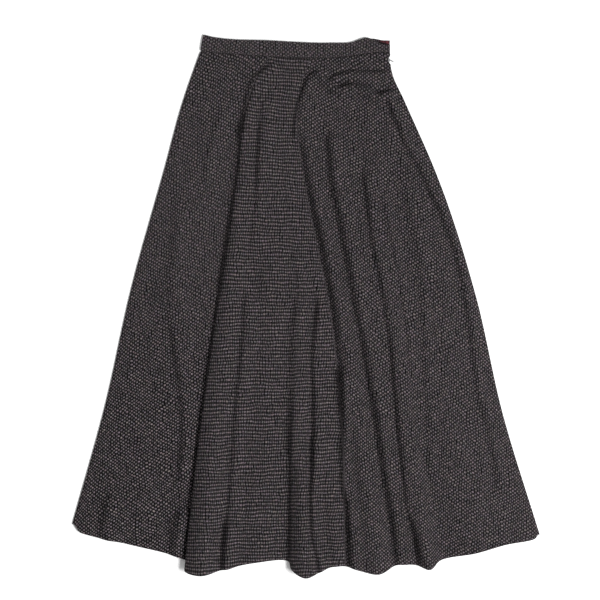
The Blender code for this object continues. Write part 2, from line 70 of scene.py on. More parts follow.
# x is the place from the centre at each station. z is the height of the cloth's middle surface
# at each station below the first, because at the waist it is the band's. hem_y is where the
# line meets the hem, and cells is the number of steps from it to the next line.
FRONT_LINES = (
    Line("left side seam", 1,
         (-183, -195, -212, -246, -303, -349, -406), (4.0, 3.6, 3.6, 3.6, 3.6, 3.8), -379),
    Line("left hem corner", 1,
         (-176, -188, -203, -235, -290, -334, -393), (4.4, 4.6, 4.8, 4.8, 4.8, 5.6), -392),
    Line("left lower billow", 2,
         (-163, -174, -189, -217, -271, -316, -372), (5.0, 5.4, 5.6, 5.4, 5.6, 7.5), -399),
    Line("left broad billow", 5,
         (-139, -151, -163, -184, -226, -266, -306), (6.0, 6.8, 7.4, 8.0, 7.4, 5.5), -414),
    Line("foot of the first fold", 2,
         (-63, -85, -103, -121, -155, -183, -204), (4.2, 3.0, 2.7, 2.6, 2.6, 2.6), -445),
    Line("flank of the first fold", 3,
         (-61, -82, -100, -119, -153, -185, -210), (6.2, 7.0, 9.0, 11.5, 13.0, 15.0), -459),
    Line("crest of the first fold", 4,
         (-56, -73, -89, -104, -134, -162, -182), (7.6, 10.0, 13.5, 17.0, 22.0, 30.0), -466),
    Line("hollow after the first fold", 3,
         (-49, -63, -75, -83, -102, -123, -142), (6.2, 6.4, 7.2, 5.6, 4.2, 3.0), -457),
    Line("broad centre rise", 3,
         (-38, -49, -59, -63, -70, -76, -90), (6.6, 8.0, 9.5, 8.5, 7.5, 7.5), -446),
    Line("hollow before the second fold", 1,
         (-24, -36, -45, -40, -21, -30, -31), (6.2, 7.4, 8.4, 5.2, 3.2, 2.6), -443),
    Line("flank of the second fold", 3,
         (-21, -33, -41, -35, -14, -23, -25), (6.2, 7.2, 8.2, 6.0, 10.0, 15.0), -457),
    Line("crest of the second fold", 3,
         (-17, -28, -36, -28, -6, -9, -1), (6.2, 7.0, 7.8, 8.5, 16.0, 30.0), -470),
    Line("hollow after the second fold", 2,
         (-10, -21, -30, -20, 16, 11, 37), (6.0, 6.4, 6.8, 4.6, 3.6, 3.0), -455),
    Line("low centre crest", 2,
         (-2, -14, -23, -11, 28, 33, 54), (5.6, 5.4, 5.2, 6.5, 7.5, 8.5), -452),
    Line("foot of the third fold", 4,
         (9, -4, -14, 0, 43, 66, 69), (4.4, 3.0, 2.6, 2.6, 2.7, 3.0), -452),
    Line("crest of the third fold", 3,
         (24, 14, 3, 17, 64, 94, 125), (7.6, 10.0, 13.0, 15.0, 16.5, 25.0), -464),
    Line("hollow after the third fold", 2,
         (49, 38, 28, 40, 85, 122, 158), (6.6, 6.0, 4.2, 3.2, 3.0, 3.0), -449),
    Line("small crest", 2,
         (69, 61, 54, 69, 115, 142, 174), (6.8, 7.2, 7.4, 7.6, 8.0, 8.5), -448),
    Line("hollow before the fourth fold", 3,
         (89, 82, 76, 96, 142, 160, 193), (6.8, 6.6, 5.0, 4.0, 3.4, 3.0), -450),
    Line("crest of the fourth fold", 3,
         (104, 102, 106, 127, 158, 182, 215), (7.4, 8.0, 9.0, 9.5, 10.5, 18.0), -456),
    Line("hollow after the fourth fold", 3,
         (116, 116, 129, 151, 172, 200, 235), (7.2, 6.6, 6.2, 5.2, 3.8, 3.0), -441),
    Line("right broad billow", 4,
         (128, 129, 147, 180, 224, 257, 295), (7.4, 6.6, 8.0, 8.6, 8.2, 9.5), -429),
    Line("right rolled seam", 2,
         (132, 134, 158, 205, 275, 312, 346), (7.0, 5.6, 4.8, 4.2, 4.0, 4.0), -415),
    Line("right hem corner", 1,
         (140, 142, 165, 219, 286, 334, 397), (6.8, 6.0, 5.6, 5.4, 5.2, 5.4), -404),
    Line("right side seam", 1,
         (146, 149, 171, 226, 294, 342, 406), (6.4, 5.4, 4.6, 3.8, 3.6, 3.8), -397),
)

# The back panel lies on the floor, but for shallow rises into the front's four large folds. Here
# z is only the rise.
BACK_LINES = (
    Line("left side seam", 1,
         (-179, -191, -208, -242, -299, -345, -402), (0, 0, 0, 0, 0, 0), -378),
    Line("left hem corner", 6,
         (-173, -185, -200, -232, -287, -331, -388), (0, 0, 0, 0, 0, 0), -389),
    Line("first rise, left foot", 1,
         (-50, -70, -88, -104, -136, -172, -197), (0, 0, 0, 0, 0, 0), -430),
    Line("first rise, top", 1,
         (-44, -60, -76, -90, -122, -156, -177), (0, 0, 0, 0, 1.8, 8.0), -432),
    Line("first rise, right foot", 4,
         (-36, -50, -62, -74, -100, -138, -156), (0, 0, 0, 0, 0, 0), -432),
    Line("second rise, left foot", 1,
         (-26, -36, -44, -40, -20, -20, -22), (0, 0, 0, 0, 0, 0), -436),
    Line("second rise, top", 1,
         (-20, -30, -38, -32, -10, -9, 3), (0, 0, 0, 0, 0.8, 8.5), -440),
    Line("second rise, right foot", 2,
         (-14, -24, -32, -24, 2, 3, 26), (0, 0, 0, 0, 0, 0), -441),
    Line("third rise, left foot", 1,
         (12, 0, -8, 8, 52, 76, 84), (0, 0, 0, 0, 0, 0), -445),
    Line("third rise, top", 1,
         (24, 14, 4, 20, 64, 94, 118), (0, 0, 0, 0, 1.4, 7.5), -446),
    Line("third rise, right foot", 2,
         (40, 30, 20, 34, 78, 112, 146), (0, 0, 0, 0, 0, 0), -443),
    Line("fourth rise, left foot", 1,
         (92, 88, 86, 106, 146, 168, 199), (0, 0, 0, 0, 0, 0), -438),
    Line("fourth rise, top", 1,
         (102, 100, 104, 124, 156, 181, 214), (0, 0, 0, 0, 0.5, 4.0), -436),
    Line("fourth rise, right foot", 5,
         (112, 112, 122, 142, 168, 194, 230), (0, 0, 0, 0, 0, 0), -434),
    Line("right hem corner", 1,
         (136, 138, 158, 212, 278, 324, 386), (0, 0, 0, 0, 0, 0), -399),
    Line("right side seam", 1,
         (142, 145, 167, 222, 290, 338, 401), (0, 0, 0, 0, 0, 0), -391),
)

# Rows of the back's wall, as fractions of the way down.
BACK_ROWS = (0.0, 0.02, 0.05, 0.09, 0.14, 0.20, 0.26, 0.33, 0.40, 0.47, 0.54, 0.61, 0.68, 0.75,
             0.82, 0.88, 0.94, 1.0)

# How many cells of the finer grid stand for one cell of the solids' grid, across and down.
FINE_ACROSS = 4
BACK_FINE_DOWN = 5


class Stretch(NamedTuple):
    """A stretch of the front's finer rows: where it ends on the way down, and its rows."""
    end: float
    rows: int


# The rows are close along the waist seam and where the cloth is pulled towards the zip.
FRONT_STRETCHES = (Stretch(0.006, 6), Stretch(0.022, 6), Stretch(0.12, 56), Stretch(1.0, 104))

# At a sewn side seam the front turns down to the floor within RIM_TURN of its outline, through
# two points given as (distance in from the outline, height), in RIM_CELLS cells.
RIM_TURN = 2.4
RIM_SHOULDER = (0.3, 2.4)
RIM_FOOT = (0.0, 1.1)
RIM_CELLS = 2
RIM_COLUMNS = (RIM_CELLS + 1) * FINE_ACROSS
INSIDE_RIMS = slice(RIM_COLUMNS, -RIM_COLUMNS)

# A sheet's edge is rounded in this number of steps from its upper to its lower side.
ROUND_STEPS = 4

# Along the zip, down to the fraction ZIP_OPEN, the front's edge stays up and only rolls over
# through two points given as (distance in, drop). From ZIP_CLOSED on the seam is sewn. At the
# slider the edge steps in by NOTCH_DEPTH, and the next line by NOTCH_SHARE of that.
ZIP_OPEN = 0.27
ZIP_CLOSED = 0.33
ROLL_SHOULDER = (1.0, 0.3)
ROLL_FOOT = (-0.5, 0.6)
NOTCH_DEPTH = 4.2
NOTCH_HALF = 9
NOTCH_SHARE = 0.8
BRIDGE_X = 144.6
BRIDGE_Y = 426.6

# The zip's tape and coil lie between the panels, below the slider.
ZIP_TOP = BRIDGE_Y - 3.0
ZIP_LENGTH = 200
ZIP_EDGE = 2.0
ZIP_STEPS = 100
TAPE_WIDTH = 11.5
TAPE_THICK = 0.5
TAPE_STEPS = 10
TAPE_Z = 2.15
TAPE_WAVE = 0.08
TAPE_WAVE_X = 3
TAPE_WAVE_Y = 9
COIL_Z = 2.3
COIL_RADIUS = 0.4
COIL_PITCH = 1.2
COIL_TURN_STEPS = 8
WIRE_RADIUS = 0.14
WIRE_SIDES = 5

# The red tape fills its solid's box but for some of the height, and is faintly wavy. The wave
# turns by so many radians in a millimetre.
RED_ACROSS = 24
RED_UP = 14
RED_THICK_SHARE = 0.8
RED_WAVE = 0.15
RED_WAVE_TURN_X = 0.9
RED_WAVE_TURN_Y = 0.7

# The seam where the panels meet the band, and the band's two top edges, as points (x, y).
SEAM_CURVE = ((-185, 443), (-150, 439.5), (-116, 437), (-55, 433), (5, 431), (42, 431),
              (80, 434.5), (122, 440.0), (147, 440.0))
FRONT_TOP_CURVE = ((-182, 470), (-175, 470), (-163, 467), (-142, 464), (-60, 460.5), (-17, 458),
                   (45, 456.5), (84, 459), (96, 463.5), (107, 465.5), (116, 462), (128, 455.5),
                   (147, 452.5))
BACK_TOP_CURVE = ((-182, 470), (-175, 470), (-163, 466.5), (-142, 463.5), (-60, 460), (-17, 457.5),
                  (45, 456), (84, 458), (98, 462.5), (108, 464), (118, 464), (129, 462), (136, 460.5),
                  (142, 460), (147, 461.5))

# The band: one folded strip that runs along the front, turns at the left side and runs back.
# Over BAND_LEAN_LENGTH at the left its lower edge comes to lie BAND_LEAN further left than its
# top edge. Over BAND_OPEN_LENGTH at the zip it lifts by BAND_OPEN_LIFT.
BAND_FRONT_Z = 4.6
BAND_BACK_Z = BAND_THICK / 2
BAND_LEFT_X = -176
BAND_LEAN = 4.5
BAND_LEAN_LENGTH = 50
BAND_RIGHT_X = 145.6
BAND_OPEN_LIFT = 2.6
BAND_OPEN_LENGTH = 60
BAND_STEPS = 150
BAND_TURN_STEPS = 12
BAND_ACROSS = 12

# The band is BAND_EDGE of its thickness at its seam, swells to the full thickness, and is back
# at BAND_EDGE a little below its top edge.
BAND_EDGE = 0.72
BAND_SWELL = 1.1


class Crease(NamedTuple):
    """A soft trough along some points."""
    name: str
    points: tuple
    width: float
    depth: float


class Step(NamedTuple):
    """A soft step along some points. To the left of the way they run, the cloth rises within
    a distance steep on each side of them, and sinks back within the distance gentle."""
    name: str
    points: tuple
    rise: float
    steep: float
    gentle: float


# How far from its two ends a crease or step takes to come to its full size, and the number of
# pieces into which each stretch of its path is cut.
FADE = 22
PATH_STEPS = 4

STEPS = (
    Step("first fold, hooked top",
         ((-50, 428), (-66, 415), (-80, 405), (-93, 396), (-100, 380), (-104, 363), (-108, 340),
          (-113, 314), (-119, 280)), 6.0, 4, 14),
    Step("first fold, upper flank",
         ((-110, 325), (-117, 285), (-126, 217), (-131, 160), (-139, 90), (-150, 14)), 4.0, 6, 14),
    Step("first fold, upper inner line",
         ((-77, 370), (-80, 306), (-84, 259), (-85, 212), (-90, 156), (-99, 80)), 5.5, 6, 14),
    Step("first fold, upper inner hollow",
         ((-81, 326), (-84, 280), (-85, 240), (-87, 190)), 5.0, 6, 12),
    Step("first fold, lower inner line",
         ((-106, 24), (-111, -66), (-119, -144), (-125, -215), (-129, -276), (-134, -337),
          (-141, -415), (-144, -480)), 9.0, 6, 14),
    Step("first fold, inner line at the hem",
         ((-135, -363), (-141, -405), (-144, -430), (-142, -510)), 12.0, 8, 12),
    Step("second fold, upper flank",
         ((-18, 20), (-22, -21), (-26, -76), (-28, -129), (-30, -207), (-30, -276)), 6.5, 6.5, 11),
    Step("second fold, right line",
         ((20, 15), (19, -10), (13, -59), (11, -102), (13, -155), (13, -222), (11, -285), (9, -337),
          (12, -400), (21, -441), (28, -490)), 10.0, 5.5, 10),
    Step("second fold, right line at the hem",
         ((13, -222), (11, -285), (9, -337), (12, -400), (21, -441), (30, -510)), 7.0, 5, 10),
    Step("third fold, hooked top",
         ((48, 400), (28, 407), (10, 403), (0, 390), (-9, 367), (-16, 344), (-21, 314), (-22, 296),
          (-19, 274)), 6.5, 4, 12),
    Step("third fold, upper flank",
         ((-20, 335), (-17, 304), (-9, 273), (-2, 231), (5, 198), (14, 160), (24, 123), (33, 66),
          (43, 19), (56, -97), (63, -198)), 4.5, 6, 10),
    Step("third fold, lower flank",
         ((60, -100), (63, -181), (63, -243), (63, -306), (71, -346), (75, -405), (80, -500)),
         12.0, 5, 12),
    Step("fourth fold, left line",
         ((36, 305), (45, 212), (60, 141), (75, 57), (84, 10), (104, -97), (121, -201), (134, -295),
          (149, -384), (159, -480)), 13.0, 8, 13),
    Step("fourth fold, flank",
         ((99, 240), (113, 123), (132, 24), (147, -76), (157, -191), (168, -295), (175, -353),
          (191, -405), (204, -490)), 9.0, 5, 13),
    Step("right of the fourth fold",
         ((127, 205), (146, 123), (162, 47), (174, -42), (182, -130)), 4.0, 3.6, 9),
    Step("right of the fourth fold, faint",
         ((168, 195), (190, 120), (199, 40), (205, -60), (210, -160), (217, -330)), 3.2, 4, 10),
    Step("left upper line, faint", ((-150, 350), (-160, 310), (-170, 265), (-180, 210)), 4.5, 6, 14),
    Step("left middle line, faint",
         ((-226, 190), (-231, 120), (-236, 60), (-238, 0), (-233, -60)), 4.5, 6, 14),
    Step("left lower line",
         ((-234, -30), (-224, -102), (-217, -146), (-215, -222), (-217, -260), (-224, -310)),
         11.0, 7, 12),
    Step("left hem, dimple", ((-344, -320), (-350, -365), (-354, -440)), 15.0, 8, 16),
    Step("left hem, beside the first fold", ((-220, -345), (-229, -395), (-236, -470)), 13.0, 9, 10),
    Step("pull from the zip, upper",
         ((156, 408), (132, 406), (104, 406), (80, 407), (52, 400), (28, 388)), 7.5, 4, 9),
    Step("pull from the zip, lower",
         ((160, 375), (146, 373), (122, 367), (104, 378), (80, 384), (57, 379), (43, 386),
          (22, 402)), 11.0, 4.5, 10),
    Step("right side seam, rolled to the front",
         ((138, 368), (148, 340), (160, 311), (172, 280), (188, 254), (215, 198), (233, 162),
          (257, 97), (276, 10), (288, -76), (299, -155), (320, -233), (334, -337)), 6.0, 5, 9),
    Step("right side seam, rolled more at the top",
         ((138, 368), (148, 340), (160, 311), (172, 280), (188, 254), (215, 198), (240, 145)),
         4.0, 6, 9),
)
CREASES = (
    Crease("hem dip before the second fold", ((-41, -380), (-37, -470)), 6, 2.0),
    Crease("foot of the upper pull from the zip",
           ((156, 412), (132, 410), (104, 410), (80, 411), (52, 404), (28, 392)), 3.0, 2.5),
    Crease("foot of the lower pull from the zip",
           ((160, 380), (146, 378), (122, 372), (104, 383), (80, 388), (57, 384), (43, 390), (22, 405)),
           3.2, 3.8),
)
BAND_CREASES = (
    Crease("band wrinkle", ((33, 420), (52, 455)), 2.2, 1.0),
    Crease("band wrinkle by the zip", ((95, 431), (111, 472)), 3, 0.8),
)

# The seam's ditch under the band: how deep, and how far down it reaches.
DITCH_DEPTH = 2.2
DITCH_WIDTH = 2.0


def smooth(knots, values, at):
    """Read a smooth curve that passes through values at knots, at the places given by at."""
    knots = np.asarray(knots, float)
    values = np.asarray(values, float)
    at = np.clip(np.asarray(at, float), knots[0], knots[-1])
    column = (-1,) + (1,) * (values.ndim - 1)
    steps = np.diff(knots).reshape(column)
    slopes = np.diff(values, axis=0) / steps
    inner = (slopes[:-1] * steps[1:] + slopes[1:] * steps[:-1]) / (steps[:-1] + steps[1:])
    tangents = np.concatenate([slopes[:1], inner, slopes[-1:]])
    span = np.clip(np.searchsorted(knots, at, side="right") - 1, 0, len(knots) - 2)
    width = steps[span]
    u = (at - knots[span]).reshape(column) / width
    start = (2 * u**3 - 3 * u**2 + 1) * values[span]
    leave = (u**3 - 2 * u**2 + u) * width * tangents[span]
    end = (3 * u**2 - 2 * u**3) * values[span + 1]
    arrive = (u**3 - u**2) * width * tangents[span + 1]
    return start + leave + end + arrive


def smooth_at(knots, values, place):
    """Read the same curve at one place."""
    return smooth(knots, values, [place])[0]


def ramp(value, low, high):
    """Rise smoothly from 0 at low to 1 at high."""
    u = np.clip((value - low) / (high - low), 0.0, 1.0)
    return u * u * (3 - 2 * u)


def blend(first, second, share):
    """Go from one number to another by a share between 0 and 1."""
    return first + (second - first) * share


def curve_y(curve, x):
    """Read a curve given as points (x, y) at one x."""
    return float(smooth_at([point[0] for point in curve], [point[1] for point in curve], x))


def band_front_z(x):
    """Height of the front band's middle surface, which lifts towards the open end."""
    return BAND_FRONT_Z + BAND_OPEN_LIFT * ramp(x, BAND_RIGHT_X - BAND_OPEN_LENGTH, BAND_RIGHT_X)


def spread(points, cells):
    """Put a smooth curve through points, with the given number of cells between each pair."""
    points = np.array(points, float)
    chords = np.linalg.norm(np.diff(points, axis=0), axis=1)
    knots = np.concatenate([[0.0], np.cumsum(np.sqrt(chords))])
    at = [knots[0]]
    for low, high, count in zip(knots, knots[1:], cells):
        at.extend(np.linspace(low, high, count + 1)[1:])
    return smooth(knots, points, at)


def finer(rows, steps):
    """Cut each gap between rows into equal steps."""
    places = np.arange((len(rows) - 1) * steps + 1) / steps
    return np.interp(places, np.arange(len(rows)), rows)


def lines_at(lines, t, waist_z):
    """Where each line is at t, as points (x, hem y, z)."""
    found = []
    for line in lines:
        heights = (waist_z(line.x[0]),) + line.z
        found.append([smooth_at(STATIONS, line.x, t), line.hem_y, smooth_at(STATIONS, heights, t)])
    return found


def set_rows(sections, rows):
    """Replace each point's hem y by its own y, on the way from the band's seam to the hem."""
    tops = [curve_y(SEAM_CURVE, point[0]) - SEAM_GAP for point in sections[0]]
    for section, t in zip(sections, rows):
        section[:, 1] = tops + (section[:, 1] - tops) * t
    return np.array(sections)


def front_section(t):
    """Points (x, hem y, z) across the front's middle surface, at a fraction t of the way down."""
    points = lines_at(FRONT_LINES, t, band_front_z)
    left, right = points[0], points[-1]
    half = CLOTH / 2
    turned = ramp(t, ZIP_OPEN, ZIP_CLOSED)
    seam_y = curve_y(SEAM_CURVE, BRIDGE_X)
    slider_t = (seam_y - BRIDGE_Y) / (seam_y - right[1])
    away = abs(t - slider_t) * (BRIDGE_Y - right[1])
    notch = NOTCH_DEPTH * ramp(NOTCH_HALF - away, 0, NOTCH_HALF)
    right[0] -= notch
    points[-2][0] -= notch * NOTCH_SHARE
    left_rim = [[left[0] + half + step, left[1], z] for step, z in (RIM_FOOT, RIM_SHOULDER)]
    right_rim = []
    for (open_step, drop), (step, z) in ((ROLL_SHOULDER, RIM_SHOULDER), (ROLL_FOOT, RIM_FOOT)):
        x = right[0] - half - blend(open_step, step, turned)
        right_rim.append([x, right[1], blend(right[2] - drop, z, turned)])
    left[0] += half + RIM_TURN
    right[0] -= half + RIM_TURN
    points = left_rim + points + right_rim
    cells = [1] * RIM_CELLS + [line.cells for line in FRONT_LINES[:-1]] + [1] * RIM_CELLS
    section = spread(points, [count * FINE_ACROSS for count in cells])
    touching = CLOTH + LAYER_GAP + half
    section[INSIDE_RIMS, 2] = np.maximum(section[INSIDE_RIMS, 2], touching)
    return section


def back_section(t):
    """Points (x, hem y, z) across the back's middle surface."""
    points = lines_at(BACK_LINES, t, lambda x: 0.0)
    section = spread(points, [line.cells * FINE_ACROSS for line in BACK_LINES[:-1]])
    section[:, 2] = np.maximum(section[:, 2], 0.0) + CLOTH / 2
    return section


def line_columns(lines, rim_cells):
    """The column of the finer grid at which each line lies."""
    columns = [rim_cells * FINE_ACROSS]
    for line in lines[:-1]:
        columns.append(columns[-1] + line.cells * FINE_ACROSS)
    return columns


def unit(vectors):
    """Vectors of length 1 in the same directions."""
    return vectors / np.maximum(np.linalg.norm(vectors, axis=-1, keepdims=True), 1e-9)


def directions(grid, axis):
    """Unit directions along one axis of a grid of points, halfway between the two neighbours'."""
    steps = unit(np.diff(grid, axis=axis))
    first = np.take(steps, [0], axis=axis)
    last = np.take(steps, [-1], axis=axis)
    return unit(np.concatenate([first, steps], axis=axis) + np.concatenate([steps, last], axis=axis))


def normals_of(grid):
    """Unit normals of a grid of points."""
    return unit(np.cross(directions(grid, 0), directions(grid, 1)))


def reach(places, points):
    """The distance of each place from a curve through points, above 0 to the left of the way it
    runs, and how much of a crease is left so near to the curve's ends."""
    points = np.array(points, float)
    numbers = np.arange(len(points))
    points = smooth(numbers, points, finer(numbers, PATH_STEPS))
    steps = np.diff(points, axis=0)
    lengths = np.linalg.norm(steps, axis=1)
    before = np.concatenate([[0.0], np.cumsum(lengths)])
    nearest = np.full(places.shape[:2], np.inf)
    along = np.zeros(places.shape[:2])
    for start, step, length, gone in zip(points, steps, lengths, before):
        away = places - start
        share = np.clip((away @ step) / length**2, 0, 1)
        gap = np.linalg.norm(away - share[..., None] * step, axis=-1)
        side = np.sign(step[0] * away[..., 1] - step[1] * away[..., 0])
        closer = gap < np.abs(nearest)
        nearest = np.where(closer, gap * side, nearest)
        along = np.where(closer, gone + share * length, along)
    return nearest, ramp(along, 0, FADE) * ramp(before[-1] - along, 0, FADE)


def press(grid, creases=(), steps=()):
    """Raise steps and press creases into a grid of points, straight up and down."""
    places = grid[..., :2].copy()
    for step in steps:
        away, left = reach(places, step.points)
        rise = ramp(away, -step.steep, step.steep)
        rise *= np.exp(-(np.maximum(away - step.steep, 0) / step.gentle) ** 2)
        grid[..., 2] += step.rise * left * rise
    for crease in creases:
        away, left = reach(places, crease.points)
        grid[..., 2] -= crease.depth * left * np.exp(-(away / crease.width) ** 2)
    return grid


def rim_order(rows, columns):
    """Grid places (row, column) once round the edge."""
    order = [(0, j) for j in range(columns - 1)]
    order += [(i, columns - 1) for i in range(rows - 1)]
    order += [(rows - 1, j) for j in range(columns - 1, 0, -1)]
    order += [(i, 0) for i in range(rows - 1, 0, -1)]
    return order


def shell(name, grid, thickness, weave, finish):
    """Make a closed sheet round a grid of points, with round edges and its weave's coordinates."""
    grid = np.array(grid, float)
    rows, columns = grid.shape[:2]
    half = np.broadcast_to(np.asarray(thickness, float), (rows, columns))[..., None] / 2
    normals = normals_of(grid)
    outward = np.zeros_like(grid)
    outward[0] += unit(grid[0] - grid[1])
    outward[-1] += unit(grid[-1] - grid[-2])
    outward[:, 0] += unit(grid[:, 0] - grid[:, 1])
    outward[:, -1] += unit(grid[:, -1] - grid[:, -2])
    outward = np.where(np.any(outward, axis=-1, keepdims=True), unit(outward), 0.0)
    grid = grid - outward * half
    order = rim_order(rows, columns)
    rim_i = np.array([i for i, _ in order])
    rim_j = np.array([j for _, j in order])
    layers = [(grid + normals * half).reshape(-1, 3), (grid - normals * half).reshape(-1, 3)]
    woven = [weave.reshape(rows * columns, -1)] * 2
    for step in range(1, ROUND_STEPS):
        angle = math.pi * step / ROUND_STEPS
        lean = outward[rim_i, rim_j] * math.sin(angle) + normals[rim_i, rim_j] * math.cos(angle)
        layers.append(grid[rim_i, rim_j] + lean * half[rim_i, rim_j])
        edge = weave[rim_i, rim_j].copy()
        edge[:, :2] += step * outward[rim_i, rim_j, :2]
        woven.append(edge)
    index = np.arange(rows * columns).reshape(rows, columns)
    quads = np.stack([index[:-1, :-1], index[1:, :-1], index[1:, 1:], index[:-1, 1:]], axis=-1)
    quads = quads.reshape(-1, 4)
    faces = [quads, quads[:, ::-1] + rows * columns]
    rings = [index[rim_i, rim_j]]
    for step in range(ROUND_STEPS - 1):
        rings.append(2 * rows * columns + step * len(order) + np.arange(len(order)))
    rings.append(index[rim_i, rim_j] + rows * columns)
    for near, far in zip(rings, rings[1:]):
        faces.append(np.stack([near, np.roll(near, -1), np.roll(far, -1), far], axis=-1))
    return mesh_object(name, np.concatenate(layers), np.concatenate(faces), finish,
                       np.concatenate(woven))


def mesh_object(name, points, faces, finish, woven=None):
    """Make an object in metres from points in millimetres. The weave's first two coordinates go
    to the layer Weave, and the other two, where it has them, to the layer Yarn."""
    mesh = bpy.data.meshes.new(name)
    mesh.from_pydata((np.asarray(points) * MM).tolist(), [], list(faces))
    mesh.materials.append(finish)
    mesh.shade_smooth()
    if woven is not None:
        corners = np.zeros(len(mesh.loops), np.int32)
        mesh.loops.foreach_get("vertex_index", corners)
        at_corners = np.asarray(woven, np.float32)[corners]
        for layer, pair in zip(("Weave", "Yarn"), (at_corners[:, :2], at_corners[:, 2:])):
            if pair.shape[1]:
                mesh.uv_layers.new(name=layer).data.foreach_set("uv", pair.ravel())
    made = bpy.data.objects.new(name, mesh)
    bpy.context.scene.collection.objects.link(made)
    return made


class Grain(NamedTuple):
    """How the weave lies on a stretch of a panel, from one line to another. At some fractions of
    the way down, turn is how far the rows are turned, in degrees, and contrast is how much the
    light yarn stands out. checkered is 1 where strong dashes take turns along a row too."""
    first_line: int
    last_line: int
    at: tuple
    turn: tuple
    contrast: tuple
    checkered: float


# The first fold and the third fold hide the places where the rows' direction jumps.
FRONT_GRAIN = (
    Grain(0, 4, (0.0, 0.4, 0.7, 1.0), (15, 12, 9, 7), (1.15, 1.0, 1.6, 1.75), 1),
    Grain(4, 14, (0.0, 0.3, 0.7, 1.0), (-6, -2, 1, 1), (0.95, 1.08, 1.15, 1.15), 0),
    Grain(14, 24, (0.0, 0.3, 0.7, 1.0), (-7, -9, -9, -8), (1.2, 1.25, 1.28, 1.28), 1),
)
BACK_GRAIN = (
    Grain(0, 7, (0.0, 1.0), (9, 7), (1.0, 1.0), 1),
    Grain(7, 15, (0.0, 1.0), (-9, -7), (1.0, 1.0), 1),
)
BAND_CONTRAST = 0.85


def weave_of(grid, rows, columns, stretches):
    """Coordinates of the weave: millimetres along and across its rows, checkered, contrast."""
    steps = np.linalg.norm(np.diff(grid, axis=1), axis=2)
    lengths = np.concatenate([np.zeros((len(grid), 1)), np.cumsum(steps, axis=1)], axis=1)
    weave = np.zeros(grid.shape[:2] + (4,))
    for stretch in stretches:
        low = 0 if stretch.first_line == 0 else columns[stretch.first_line]
        last = stretch.last_line == len(columns) - 1
        high = grid.shape[1] if last else columns[stretch.last_line]
        middle = (low + high) // 2
        across = lengths[:, low:high] - lengths[:, middle:middle + 1]
        across += grid[:, middle:middle + 1, 0] - grid[0, middle, 0]
        down = grid[:, low:high, 1]
        turn = np.radians(smooth(stretch.at, stretch.turn, rows))[:, None]
        weave[:, low:high, 0] = across
        weave[:, low:high, 1] = down * np.cos(turn) - across * np.sin(turn)
        weave[:, low:high, 2] = stretch.checkered
        weave[:, low:high, 3] = smooth(stretch.at, stretch.contrast, rows)[:, None]
    return weave


def front_panel(tweed):
    """The front, with its folds, small creases and the ditch of the waist seam."""
    rows = [0.0]
    for stretch in FRONT_STRETCHES:
        rows.extend(np.linspace(rows[-1], stretch.end, stretch.rows + 1)[1:])
    rows = np.array(rows)
    grid = set_rows([front_section(t) for t in rows], rows)
    weave = weave_of(grid, rows, line_columns(FRONT_LINES, RIM_CELLS), FRONT_GRAIN)
    below = grid[0, :, 1] - grid[:, :, 1]
    grid[..., 2] -= DITCH_DEPTH * np.exp(-(below / DITCH_WIDTH) ** 2)
    press(grid, CREASES, STEPS)
    above_back = CLOTH + LAYER_GAP / 2 + CLOTH / 2
    grid[:, INSIDE_RIMS, 2] = np.maximum(grid[:, INSIDE_RIMS, 2], above_back)
    grid[..., 2] = np.maximum(grid[..., 2], CLOTH / 2)
    return shell("skirt_front", grid, CLOTH, weave, tweed)


def back_panel(tweed):
    """The back, flat on the floor but for its shallow rises."""
    rows = finer(BACK_ROWS, BACK_FINE_DOWN)
    grid = set_rows([back_section(t) for t in rows], rows)
    weave = weave_of(grid, rows, line_columns(BACK_LINES, 0), BACK_GRAIN)
    return shell("skirt_back", grid, CLOTH, weave, tweed)


def waistband(tweed):
    """The band as one strip, doubled back at the left side and open at the zip."""
    across = np.linspace(BAND_RIGHT_X, BAND_LEFT_X, BAND_STEPS + 1)
    path = [(x, band_front_z(x), FRONT_TOP_CURVE) for x in across]
    middle = (BAND_FRONT_Z + BAND_BACK_Z) / 2
    radius = (BAND_FRONT_Z - BAND_BACK_Z) / 2
    for step in range(1, BAND_TURN_STEPS):
        angle = math.pi * step / BAND_TURN_STEPS
        x = BAND_LEFT_X - radius * math.sin(angle)
        path.append((x, middle + radius * math.cos(angle), FRONT_TOP_CURVE))
    path += [(x, BAND_BACK_Z, BACK_TOP_CURVE) for x in across[::-1]]
    shares = np.linspace(0, 1, BAND_ACROSS + 1)
    grid = []
    for x, z, top_curve in path:
        lean = BAND_LEAN * ramp(x, BAND_LEFT_X + BAND_LEAN_LENGTH, BAND_LEFT_X)
        bottom = curve_y(SEAM_CURVE, x - lean)
        top = curve_y(top_curve, x)
        grid.append([(x - lean * (1 - share), blend(bottom, top, share), z) for share in shares])
    grid = np.array(grid)
    front = slice(0, BAND_STEPS)
    grid[front] = press(grid[front].copy(), BAND_CREASES)
    centre_line = grid[:, BAND_ACROSS // 2]
    pieces = np.linalg.norm(np.diff(centre_line, axis=0), axis=1)
    along = np.concatenate([[0.0], np.cumsum(pieces)])
    weave = np.zeros(grid.shape[:2] + (4,))
    weave[..., 0] = -along[:, None]
    weave[..., 1] = grid[..., 1]
    weave[..., 2] = 1
    weave[..., 3] = BAND_CONTRAST
    swell = np.sqrt(np.sin(np.pi * np.clip(shares * BAND_SWELL, 0, 1)))
    thickness = BAND_THICK * blend(BAND_EDGE, 1, swell)
    return shell("skirt_waistband", grid, thickness[None, :], weave, tweed)


def zip_edge(y):
    """The right outline of the skirt at a height y along the zip."""
    right = FRONT_LINES[-1]
    top = curve_y(SEAM_CURVE, right.x[0])
    return smooth_at(STATIONS, right.x, (top - y) / (top - right.hem_y))


